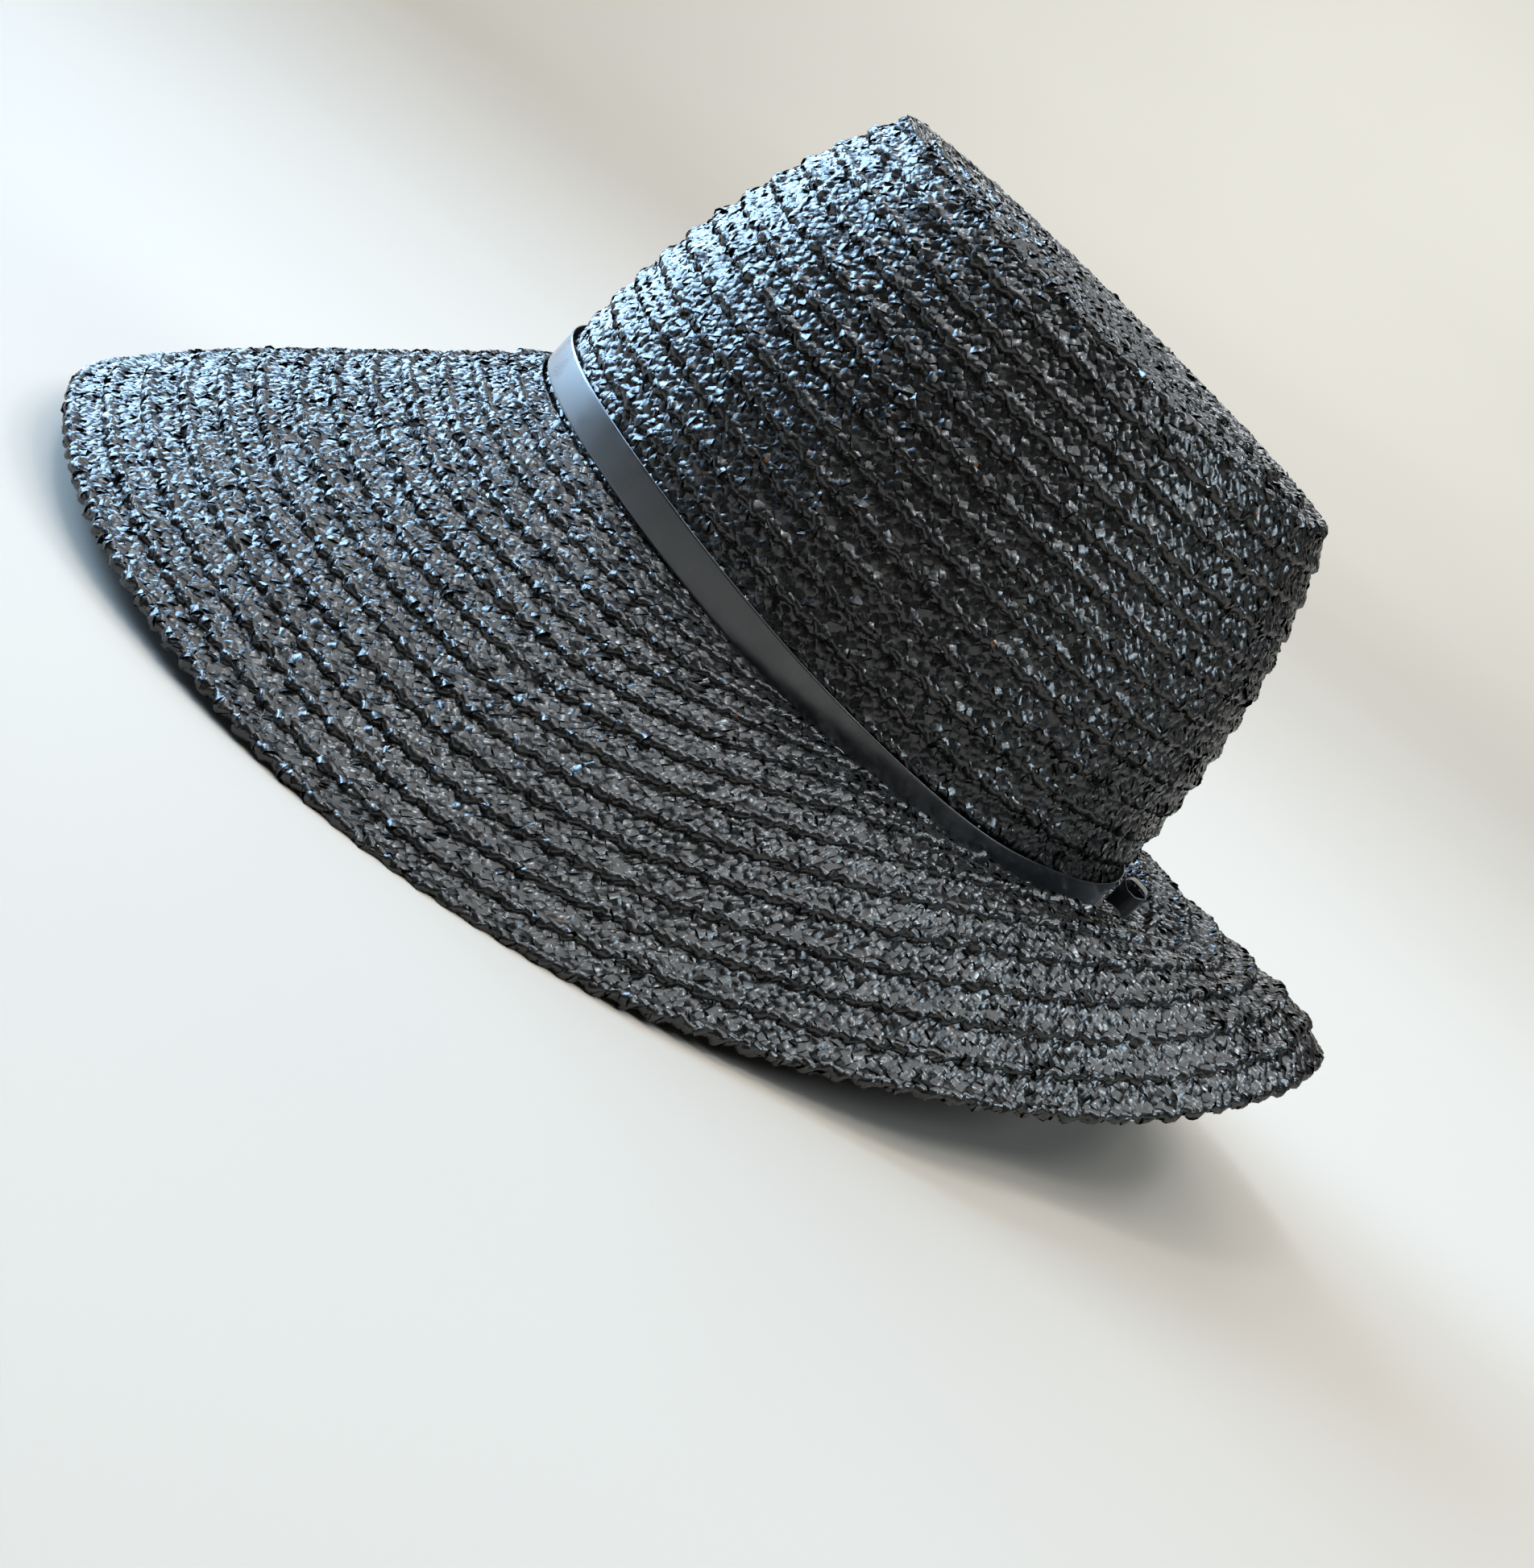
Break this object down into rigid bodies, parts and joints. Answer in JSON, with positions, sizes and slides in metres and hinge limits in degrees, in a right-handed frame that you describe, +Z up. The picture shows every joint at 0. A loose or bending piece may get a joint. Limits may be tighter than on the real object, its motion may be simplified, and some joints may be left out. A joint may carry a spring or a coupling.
{
  "type": "wide-brim straw hat",
  "caption": "Wide-brim hat of glossy black straw braid in lapped rows, with a tapered crown, a downturned brim and a narrow ribbon band with a small flat bow at the back.",
  "frame": {"origin": "centre of the bounding box, on the floor that the brim rests on", "axes": "+Z up, -Y towards the front of the hat, +X towards the wearer's left; the hat rests tipped back by 10 degrees on the sides of its brim"},
  "size_m": [0.3548, 0.378, 0.1874],
  "materials": {
    "straw": "glossy black plaited straw",
    "ribbon": "smooth black satin"
  },
  "bodies": {
    "root": {"crown": "straw", "brim": "straw", "ribbon_band": "ribbon", "band_bow": "ribbon", "bow_knot": "ribbon"}
  },
  "joints": []
}
